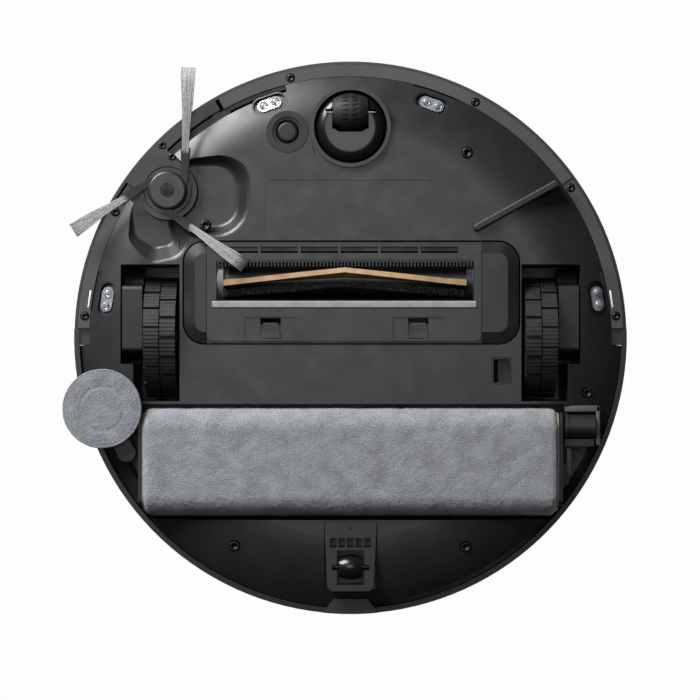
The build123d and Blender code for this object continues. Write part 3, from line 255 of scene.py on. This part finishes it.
def clear_polycarbonate(name):
    """Clear moulded polycarbonate: glassy, faintly grey, over a dark seat."""
    mat, tree, shader, place = material(name, "#e4e8ee", 0.08, IOR=1.58)
    shader.inputs["Transmission Weight"].default_value = 0.75
    vary_colour(tree, shader, place, "#c9ced6", "#f2f5fa", 0.004)
    vary_roughness(tree, shader, place, 0.04, 0.16, 0.003)
    return mat


def printed_wrap(name, dark, light):
    """Heat-shrunk PVC sleeve: glossy film with small wrinkles."""
    mat, tree, shader, place = material(name, dark, 0.3, IOR=1.54)
    vary_colour(tree, shader, place, dark, light, 0.02)
    pebble(tree, shader, place, 0.006, 0.0003, 0.6)
    return mat


def solder_mask(name):
    """Circuit board under green solder mask: tracks show as slightly raised lines."""
    mat, tree, shader, place = material(name, "#1d4a33", 0.35, IOR=1.5)
    vary_colour(tree, shader, place, "#1b4630", "#2a6242", 0.004, 0.0)
    tracks = add(tree, "ShaderNodeTexBrick", {"Vector": place, "Scale": 120.0})
    raise_relief(tree, shader, tracks.outputs["Fac"], 0.0001, 0.6)
    return mat


def pleated_paper(name):
    """Glass-fibre filter paper: off-white, matt and felted."""
    mat, tree, shader, place = material(name, "#dedcd2", 0.95, IOR=1.45)
    vary_colour(tree, shader, place, "#d2d0c6", "#ecebe4", 0.002)
    pebble(tree, shader, place, 0.0006, 0.00008, 0.8)
    return mat


def two_shot(mat, colour, inner, outer):
    """Colours the part of a long piece between two distances from the middle, as a second shot of plastic."""
    tree = mat.node_tree
    shader = tree.nodes["Principled BSDF"]
    place = add(tree, "ShaderNodeTexCoord").outputs["Object"]
    x = add(tree, "ShaderNodeSeparateXYZ", {"Vector": place}).outputs["X"]
    side = add(tree, "ShaderNodeMath", {0: x}, operation="ABSOLUTE").outputs["Value"]
    past = add(tree, "ShaderNodeMath", {0: side, 1: inner}, operation="GREATER_THAN").outputs["Value"]
    before = add(tree, "ShaderNodeMath", {0: side, 1: outer}, operation="LESS_THAN").outputs["Value"]
    share = add(tree, "ShaderNodeMath", {0: past, 1: before}, operation="MULTIPLY").outputs["Value"]
    under = shader.inputs["Base Color"].links[0].from_socket
    mix = add(tree, "ShaderNodeMixRGB", {"Fac": share, "Color1": under, "Color2": linear(colour)})
    tree.links.new(mix.outputs["Color"], shader.inputs["Base Color"])
    return mat


def slot_materials():
    """One material for each material slot of the record."""
    return {
        "black_shell": spark_eroded_abs("charcoal_abs_satin", "#232425", "#292a2c", 0.36),
        "grey_ring": spark_eroded_abs("grey_abs_satin", "#3c3d3f", "#454648", 0.48),
        # Bumper and top cover: a dark gloss of their own, made darker still as painted shade for the groove
        # line at the bumper's rim.
        "top_gloss": polished_abs("graphite_abs_gloss", "#17181a", "#1c1d1f", 0.3),
        "brush_frame": spark_eroded_abs("dark_grey_abs_satin", "#242527", "#2b2c2f", 0.36),
        "dark_plastic": spark_eroded_abs("near_black_abs", "#17181a", "#202123", 0.45),
        "bracket_grey": spark_eroded_abs("grey_nylon", "#505153", "#5e5f61", 0.5),
        "steel": turned_steel("turned_steel", "#b4b6b8", "#cfd1d3", 0.28),
        "screw_black": turned_steel("black_passivated_steel", "#2a2b2d", "#3c3d40", 0.4),
        "lens_clear": clear_polycarbonate("clear_polycarbonate"),
        "ir_window": polished_abs("infrared_polycarbonate", "#0c0d10", "#121317", 0.1),
        "tyre_rubber": ribbed_tyre("black_tyre_rubber", "#1b1c1d", "#262728", WHEEL_AXIS_Z),
        "blade_rubber": moulded_rubber("tan_polyurethane", "#9c7f5e", "#b7976f", 0.5),
        "scraper_rubber": moulded_rubber("grey_rubber", "#8a8b8c", "#9a9b9c", 0.55),
        "bristle_dark": nylon_fibre("black_nylon_bristle", "#202021", "#333334"),
        "bristle_grey": nylon_fibre("grey_nylon_bristle", "#929395", "#a6a7a9"),
        "mop_fabric": microfibre("grey_looped_microfibre", "#67696d", "#acafb4", 0.0008),
        "pad_fabric": microfibre("grey_short_microfibre", "#6b6d71", "#a3a6ab", 0.0007),
        "contact_metal": turned_steel("nickel_gold_plate", "#b7a27c", "#cbb894", 0.25),
        "battery_wrap": printed_wrap("blue_shrink_wrap", "#24405f", "#2f517a"),
        "board_green": solder_mask("green_solder_mask"),
        "bin_clear": polished_abs("smoke_polycarbonate", "#4f5155", "#5d5f63", 0.15),
        "filter_paper": pleated_paper("filter_paper"),
    }


def paint_cad(mats):
    """Gives every CAD node the material of its slot."""
    for part in frame["record"]["subparts"]:
        obj = frame["nodes"][part["node"]]
        if not obj.material_slots:
            obj.data.materials.append(mats[part["material_slot"]])
        for place in obj.material_slots:
            place.material = mats[part["material_slot"]]


# ---------------------------------------------------------------- mesh helpers
def box_of(node):
    """Lowest corner, highest corner and middle of a CAD node."""
    low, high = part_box(node)
    low, high = Vector(low), Vector(high)
    return low, high, (low + high) / 2


def finish_piece(name, bm, body, mat, replaced=(), smooth=True):
    """Turns a bmesh into a piece that rides on a body and takes its finish from a slot."""
    bmesh.ops.recalc_face_normals(bm, faces=bm.faces)
    mesh = bpy.data.meshes.new(name)
    bm.to_mesh(mesh)
    bm.free()
    for face in mesh.polygons:
        face.use_smooth = smooth
    obj = bpy.data.objects.new(name, mesh)
    bpy.context.collection.objects.link(obj)
    mesh.materials.append(mat)
    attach(obj, body)
    if replaced:
        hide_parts(*replaced)
    return obj


def edges_of(verts):
    """Each edge of some points, once and in a fixed order."""
    return list(dict.fromkeys(edge for vert in verts for edge in vert.link_edges))


def island_of(verts):
    """Some points and every point joined to them, in a fixed order."""
    island = dict.fromkeys(verts)
    fresh = list(verts)
    while fresh:
        reached = dict.fromkeys(edge.other_vert(vert) for vert in fresh for edge in vert.link_edges)
        fresh = [vert for vert in reached if vert not in island]
        island.update(dict.fromkeys(fresh))
    return list(island)


def turned_solid(outline, longest, steps, merge):
    """A solid turned round Z from an outline, whose longer edges are cut into six; its poles are closed."""
    bm = bmesh.new()
    verts = [bm.verts.new((r, 0, z)) for r, z in outline]
    edges = [bm.edges.new(pair) for pair in zip(verts, verts[1:])]
    bmesh.ops.subdivide_edges(bm, edges=[e for e in edges if e.calc_length() > longest], cuts=5)
    geom = list(bm.verts) + list(bm.edges)
    bmesh.ops.spin(bm, geom=geom, cent=(0, 0, 0), axis=(0, 0, 1), angle=2 * pi, steps=steps, use_merge=True)
    bmesh.ops.remove_doubles(bm, verts=bm.verts, dist=merge)
    return bm


def join(whole, part):
    """Adds a small mesh to a larger one and frees it."""
    mesh = bpy.data.meshes.new("part")
    part.to_mesh(mesh)
    part.free()
    whole.from_mesh(mesh)
    bpy.data.meshes.remove(mesh)


def stadium(bm, segments, radius, straight):
    """A ring across X with two straight runs along Y, as a belt round two rollers."""
    ring = bmesh.ops.create_circle(bm, segments=segments, radius=radius)["verts"]
    bmesh.ops.rotate(bm, verts=ring, cent=(0, 0, 0), matrix=Matrix.Rotation(pi / 2, 3, "Y"))
    for vert in ring:
        vert.co.y += straight if vert.co.y > 0 else -straight


def rounded_bar(bm, place, size, rounding, segments):
    """A straight bar of a size in millimetres, with its edges rounded."""
    scale = Matrix.Diagonal((size[0] * MM, size[1] * MM, size[2] * MM, 1))
    corners = bmesh.ops.create_cube(bm, size=1.0, matrix=place @ scale)["verts"]
    bmesh.ops.bevel(
        bm, geom=edges_of(corners), offset=rounding, offset_type="OFFSET", segments=segments,
        profile=0.5, affect="EDGES", material=-1,
    )


def pile(point, size, depth):
    """Height of a fibre pile at a point: small tufts on broader clumps."""
    fine = noise.noise(point / size)
    broad = noise.noise(point / (4.5 * size) + Vector((7.0, 3.0, 5.0)))
    return depth * (0.62 * fine + 0.38 * broad)


# ---------------------------------------------------------------- mop belt
def belt_inset(x, half, reach):
    """How far the belt's rolled end is drawn in at a distance x from its middle."""
    t = max(0.0, (abs(x) - (half - reach)) / reach)
    return 1 - sqrt(max(0.0, 1 - min(t, 1.0) ** 2))


def mop_belt(mats):
    """Fleece loop of the mop, with its pile as real relief and rolled ends."""
    low, high, middle = box_of("mop_belt")
    radius = (high.z - low.z) / 2 - PILE_DEPTH
    straight = (high.y - low.y) / 2 - radius - PILE_DEPTH
    half = (high.x - low.x) / 2 - END_GAP
    step = 1.05 * MM
    bm = bmesh.new()
    stadium(bm, 84, radius, straight)
    spans = [e for e in bm.edges if e.calc_length() > straight]
    bmesh.ops.subdivide_edges(bm, edges=spans, cuts=int(2 * straight / step))
    bmesh.ops.translate(bm, verts=bm.verts, vec=(-half, 0, 0))
    count = int(2 * half / step)
    edges = list(bm.edges)
    for _ in range(count):
        out = bmesh.ops.extrude_edge_only(bm, edges=edges)["geom"]
        verts = [g for g in out if isinstance(g, bmesh.types.BMVert)]
        edges = [g for g in out if isinstance(g, bmesh.types.BMEdge)]
        bmesh.ops.translate(bm, verts=verts, vec=(2 * half / count, 0, 0))
    for vert in bm.verts:
        drawn = belt_inset(vert.co.x, half, END_ROLL_LENGTH)
        spread = max(-straight, min(straight, vert.co.y))
        away = Vector((0, vert.co.y - spread, vert.co.z))
        vert.co -= away.normalized() * END_ROLL_DROP * drawn
        vert.co.y -= spread / straight * END_ROLL_PINCH * drawn
    bmesh.ops.recalc_face_normals(bm, faces=bm.faces)
    bm.normal_update()
    for vert in bm.verts:
        vert.co += vert.normal * pile(vert.co, PILE_SIZE, PILE_DEPTH)
    bmesh.ops.translate(bm, verts=bm.verts, vec=middle)
    piece = finish_piece("mop_fleece", bm, "mop_carriage", mats["mop_fabric"], ["mop_belt"])
    solid = piece.modifiers.new("thickness", "SOLIDIFY")
    solid.thickness = FLEECE_T
    solid.offset = -1


def belt_hems(mats):
    """Cream woven hems that show just outside the fleece at both ends of the belt."""
    low, high, middle = box_of("mop_belt")
    radius = (high.z - low.z) / 2 - HEM_SINK
    straight = (high.y - low.y) / 2 - radius - HEM_SINK
    starts = {"belt_hem_right": low.x - HEM_REACH, "belt_hem_left": high.x + HEM_REACH - HEM_WIDTH}
    for name, start in starts.items():
        bm = bmesh.new()
        stadium(bm, 72, radius, straight)
        out = bmesh.ops.extrude_edge_only(bm, edges=list(bm.edges))["geom"]
        verts = [g for g in out if isinstance(g, bmesh.types.BMVert)]
        bmesh.ops.translate(bm, verts=verts, vec=(HEM_WIDTH, 0, 0))
        bmesh.ops.solidify(bm, geom=list(bm.faces), thickness=HEM_T)
        bmesh.ops.translate(bm, verts=bm.verts, vec=(start, middle.y, middle.z))
        finish_piece(name, bm, "mop_carriage", mats["hem"], smooth=False)


# ---------------------------------------------------------------- edge pad
def edge_pad(mats):
    """Round fleece pad with a pressed ring and a rolled edge; its profile is in radii and millimetres."""
    low, high, middle = box_of("edge_pad")
    radius = (high.x - low.x) / 2
    top = (high.z - low.z) / MM
    middle_part = [(0.0, 0.55), (0.30, 0.50), (0.50, 0.40)]
    pressed_ring = [(0.545, 0.95), (0.59, 0.42), (0.75, 0.2), (0.90, 0.35)]
    rolled_edge = [(0.945, 0.8), (0.965, 0.5), (0.985, 0.9), (0.99, 2.0), (0.97, 3.4)]
    back = [(0.92, top), (0.0, top)]
    profile = middle_part + pressed_ring + rolled_edge + back
    bm = turned_solid([(radius * r, low.z + z * MM) for r, z in profile], 2 * MM, 120, 0.02 * MM)
    bmesh.ops.translate(bm, verts=bm.verts, vec=(middle.x, middle.y, 0))
    bmesh.ops.recalc_face_normals(bm, faces=bm.faces)
    bm.normal_update()
    for vert in bm.verts:
        vert.co += vert.normal * pile(vert.co, PAD_PILE_SIZE, PAD_PILE_DEPTH)
    piece = finish_piece("edge_pad_fleece", bm, "pad_disc", mats["pad_fabric"], ["edge_pad"])


# ---------------------------------------------------------------- bristles
def fibre(bm, path, radius, sides=4):
    """One thin thread along a path of points."""
    first = path[1] - path[0]
    ring = bmesh.ops.create_circle(bm, segments=sides, radius=radius, cap_ends=True)["verts"]
    bmesh.ops.rotate(bm, verts=ring, cent=(0, 0, 0), matrix=first.to_track_quat("Z", "Y").to_matrix())
    bmesh.ops.translate(bm, verts=ring, vec=path[0])
    face = ring[0].link_faces[0]
    for a, b in zip(path, path[1:]):
        out = bmesh.ops.extrude_discrete_faces(bm, faces=[face])["faces"]
        face = out[0]
        bmesh.ops.translate(bm, verts=face.verts, vec=b - a)


def side_brush_tufts(mats):
    """Three tufts of single nylon fibres that slope down to the floor and fan out along it."""
    rng = random.Random(5)
    hub = box_of("side_brush_hub")[2]
    axis = Vector((hub.x, hub.y, 0))
    count = 210
    bm = bmesh.new()
    for angle, reach in TUFTS:
        turn = Matrix.Rotation(radians(angle), 3, "Z")
        for _ in range(count):
            across = rng.uniform(-1, 1)
            deep = rng.uniform(0, 1)
            end = reach - rng.random() ** 3 * 4.0
            path = []
            for step in range(TUFT_STEPS + 1):
                along = TUFT_START + (end - TUFT_START) * step / TUFT_STEPS
                share = max(0.0, along - SPREAD_START) / (reach - SPREAD_START)
                fan = TUFT_HALF_WIDTH + TUFT_SPREAD * share
                sag = min(1.0, max(0.0, (along - SAG_START) / (SAG_END - SAG_START)))
                z = (5.2 + 1.7 * deep) * (1 - sag) + (0.6 + 0.75 * deep) * sag
                wander = 0.25 * sin(step * 1.3 + 9 * across)
                flat = turn @ Vector((along, TUFT_OFFSET + across * fan + wander, 0)) * MM
                path.append(flat + Vector((0, 0, z * MM)) + axis)
            thread = bmesh.new()
            fibre(thread, path, FIBRE_R)
            join(bm, thread)
    grey = mats["bristle_grey"]
    finish_piece("side_brush_fibres", bm, "side_brush", grey, ["side_brush_bristles"])


def main_brush_rows(mats):
    """Chevron rows of fine black bristles on the main brush."""
    rng = random.Random(8)
    low, high, middle = box_of("brush_bristles")
    axis_y, axis_z = box_of("brush_core")[2].yz
    half = (high.x - low.x) / 2
    step = 0.62 * MM
    count = int(2 * half / step)
    bm = bmesh.new()
    for row in BRISTLE_ROWS:
        for i in range(count + 1):
            x = -half + i * step
            lean = row + CHEVRON_START + CHEVRON_TURN * abs(x) / half
            clump = bmesh.new()
            for spread in BRISTLE_FAN:
                turn = radians(lean + spread + rng.uniform(-1.5, 1.5))
                outward = Vector((rng.uniform(-0.04, 0.04), sin(turn), -cos(turn)))
                length = (BRISTLE_LENGTH + rng.uniform(-0.5, 0.4)) * MM
                centre = Vector((middle.x + x, axis_y, axis_z)) + outward * (CORE_R * MM + length / 2)
                spin = outward.to_track_quat("Z", "Y").to_matrix().to_4x4()
                bmesh.ops.create_cone(
                    clump, segments=3, radius1=BRISTLE_R0, radius2=BRISTLE_R1, depth=length, cap_ends=True,
                    matrix=Matrix.Translation(centre) @ spin,
                )
            join(bm, clump)
    dark = mats["bristle_dark"]
    finish_piece("main_brush_fibres", bm, "main_brush", dark, ["brush_bristles"])


# ---------------------------------------------------------------- springs, screws and brackets
def coil(bm, radius, wire, turns, length, place):
    """A wound wire spring along its own Z, set in place by a matrix."""
    ring = bmesh.ops.create_circle(bm, segments=8, radius=wire)["verts"]
    bmesh.ops.rotate(bm, verts=ring, cent=(0, 0, 0), matrix=Matrix.Rotation(pi / 2, 3, "X"))
    bmesh.ops.translate(bm, verts=ring, vec=(radius, 0, 0))
    steps = int(turns * 20)
    bmesh.ops.spin(
        bm, geom=ring + edges_of(ring), cent=(0, 0, 0), axis=(0, 0, 1), dvec=(0, 0, length / steps),
        angle=2 * pi * turns, steps=steps,
    )
    made = island_of(ring)
    rims = [edge for edge in edges_of(made) if edge.is_boundary]
    bmesh.ops.holes_fill(bm, edges=rims, sides=8)
    bmesh.ops.transform(bm, matrix=place, verts=made)


def bumper_coils(mats):
    """Wire springs behind the bumper, drawn at rest; the real ones shorten as it is pressed."""
    low, high, middle = box_of("bumper_springs")
    radius = (high.z - low.z) / 2
    bm = bmesh.new()
    for side in (-1, 1):
        x = middle.x + side * (high.x - middle.x - radius)
        start = Matrix.Translation((x, low.y + SPRING_END_GAP, middle.z))
        length = high.y - low.y - 2 * SPRING_END_GAP
        place = start @ Matrix.Rotation(-pi / 2, 4, "X")
        coil(bm, radius - SPRING_SIDE_GAP, WIRE_R, SPRING_TURNS, length, place)
    springs = finish_piece("bumper_coils", bm, "chassis", mats["steel"], ["bumper_springs"])
    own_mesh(springs)


def screw_head(bm, face, radius):
    """Pan head with four notches round its recess, facing down; outline in radii and millimetres."""
    recess = [(0.0, 0.9), (0.34, 0.9), (0.36, 0.35)]
    head = [(0.62, 0.22), (0.86, 0.35), (1.0, 0.75), (1.0, 1.5), (0.0, 1.5)]
    outline = [(radius * r, h * MM) for r, h in recess + head]
    turned = turned_solid(outline, 2 * radius, 32, 0.01 * MM)
    for vert in turned.verts:
        arm = min(abs(vert.co.x), abs(vert.co.y))
        if 0.5 * radius < vert.co.xy.length < 0.8 * radius and arm < 0.1 * radius:
            vert.co.z += 0.7 * MM
    bmesh.ops.translate(turned, verts=turned.verts, vec=face)
    join(bm, turned)


def cover_screws(mats):
    """Heads for every screw of the underside, in the places of the frame's screws."""
    source = bmesh.new()
    source.from_mesh(frame["nodes"]["underside_screws"].data)
    bmesh.ops.remove_doubles(source, verts=source.verts, dist=0.001 * MM)
    bm = bmesh.new()
    seen = set()
    for first in source.verts:
        if first in seen:
            continue
        island = island_of([first])
        seen.update(island)
        low = Vector([min(v.co[axis] for v in island) for axis in range(3)])
        high = Vector([max(v.co[axis] for v in island) for axis in range(3)])
        middle = (low + high) / 2
        screw_head(bm, (middle.x, middle.y, low.z - HEAD_SINK), (high.x - low.x) / 2)
    source.free()
    finish_piece("screw_heads", bm, "chassis", mats["screw_black"], ["underside_screws"])


def arm_screws(mats):
    """The two screws of the side brush's arm plate."""
    bm = bmesh.new()
    for x, y in ARM_SCREWS:
        screw_head(bm, (x * MM, y * MM, ARM_SCREW_Z), ARM_SCREW_R)
    finish_piece("arm_screws", bm, "brush_arm", mats["screw_black"])


def bumper_levers(mats):
    """White levers of the bumper's two side switches, seen through the rim's slots."""
    bm = bmesh.new()
    for angle in LEVER_ANGLES:
        turn = Matrix.Rotation(radians(angle), 4, "Z")
        place = turn @ Matrix.Translation((LEVER_R * MM, 0, LEVER_Z * MM))
        rounded_bar(bm, place, LEVER_SIZE, 0.2 * MM, 2)
    finish_piece("bumper_switch_levers", bm, "chassis", mats["white_lever"])


def motor_bracket(mats):
    """Light bracket that frames the mop's motor at its end of the bay."""
    bm = bmesh.new()
    for low, high in BRACKET_BARS:
        low, high = Vector(low), Vector(high)
        rounded_bar(bm, Matrix.Translation((low + high) / 2 * MM), high - low, 0.6 * MM, 3)
    finish_piece("motor_bracket", bm, "chassis", mats["bracket_grey"])


# ---------------------------------------------------------------- stage, lights, camera
def stage():
    """Pale floor seen from above only, so that the underside can be looked at from below."""
    bm = bmesh.new()
    bmesh.ops.create_grid(bm, x_segments=1, y_segments=1, size=6.0)
    mesh = bpy.data.meshes.new("floor")
    bm.to_mesh(mesh)
    bm.free()
    floor = bpy.data.objects.new("floor", mesh)
    bpy.context.collection.objects.link(floor)
    mat, tree, shader, place = material("pale_studio_floor", "#e9e9e8", 0.7)
    vary_colour(tree, shader, place, "#e6e6e5", "#ececeb", 0.4)
    side = add(tree, "ShaderNodeNewGeometry").outputs["Backfacing"]
    clear = add(tree, "ShaderNodeBsdfTransparent").outputs["BSDF"]
    both = add(tree, "ShaderNodeMixShader", {0: side, 1: shader.outputs["BSDF"], 2: clear})
    tree.links.new(both.outputs["Shader"], tree.nodes["Material Output"].inputs["Surface"])
    mesh.materials.append(mat)
    floor.visible_diffuse = False
    floor.visible_glossy = False
    floor.visible_transmission = False
    floor.visible_shadow = False


def soft_light(name, place, size, power):
    """A square softbox aimed at the machine."""
    lamp = bpy.data.lights.new(name, "AREA")
    lamp.shape = "SQUARE"
    lamp.size = size
    lamp.energy = power
    obj = bpy.data.objects.new(name, lamp)
    bpy.context.collection.objects.link(obj)
    obj.location = place
    obj.rotation_euler = (-Vector(place)).to_track_quat("-Z", "Y").to_euler()


def world_light():
    """A white studio behind the object, and a weaker even light on it."""
    world = bpy.data.worlds.new("studio")
    world.use_nodes = True
    tree = world.node_tree
    back = tree.nodes["Background"]
    seen = add(tree, "ShaderNodeBackground", {"Color": linear("#fdfdfd"), "Strength": 1.0})
    back.inputs["Color"].default_value = linear("#ffffff")
    back.inputs["Strength"].default_value = 0.035
    camera_ray = add(tree, "ShaderNodeLightPath").outputs["Is Camera Ray"]
    mix = add(tree, "ShaderNodeMixShader", {0: camera_ray, 1: back.outputs[0], 2: seen.outputs[0]})
    tree.links.new(mix.outputs["Shader"], tree.nodes["World Output"].inputs["Surface"])
    bpy.context.scene.world = world


def camera():
    """Straight below the machine, its front at the top of the picture."""
    lens, sensor, width = 120.0, 36.0, 0.4399
    ground_clearance = 0.009
    data = bpy.data.cameras.new("camera")
    data.lens = lens
    data.sensor_width = sensor
    obj = bpy.data.objects.new("camera", data)
    bpy.context.collection.objects.link(obj)
    obj.location = (-0.0003, 0.0079, ground_clearance - width * lens / sensor)
    obj.rotation_euler = (pi, 0, 0)
    bpy.context.scene.camera = obj


# ---------------------------------------------------------------- the whole machine
mats = slot_materials()
mats["hem"] = moulded_rubber("cream_woven_hem", "#7d786e", "#938d81", 0.7)
mats["white_lever"] = spark_eroded_abs("white_acetal", "#e9e9e6", "#f3f3f0", 0.4)
paint_cad(mats)
core_abs = spark_eroded_abs("grey_ended_abs", "#1d1e20", "#27282a", 0.35)
gloss = polished_abs("gloss_black_abs", "#101113", "#17181a", 0.24)
# Own materials of some nodes; the deflector fin's and the brush deck's darker tones are painted shade.
finishes_and_painted_shade = {
    "brush_core": two_shot(core_abs, "#6f7072", CORE_END_IN, CORE_END_OUT),
    "caster_housing": gloss,
    "rear_roller": gloss,
    # Deflector fin: near black as painted shade; it is moulded in the shell's colour.
    "deflector_fin": mats["dark_plastic"],
    # Brush deck: darker than the shell as painted shade, so that its deep recess looks shaded.
    "brush_deck": spark_eroded_abs("deck_abs_painted_shade", "#18191a", "#1d1e20", 0.36),
}
for node, finish in finishes_and_painted_shade.items():
    frame["nodes"][node].material_slots[0].material = finish
bumper_levers(mats)
mop_belt(mats)
belt_hems(mats)
edge_pad(mats)
side_brush_tufts(mats)
main_brush_rows(mats)
bumper_coils(mats)
arm_screws(mats)
cover_screws(mats)
motor_bracket(mats)
stage()
world_light()
soft_light("key_low", (-0.80, -1.06, -0.76), 0.85, 44.0)
soft_light("fill_low", (-0.12, -0.25, -1.9), 0.8, 5.0)
soft_light("key_top", (-0.9, -0.9, 1.5), 1.2, 40.0)
soft_light("fill_top", (1.2, 0.8, 1.3), 1.4, 16.0)
camera()
bpy.context.scene.view_settings.view_transform = "Standard"
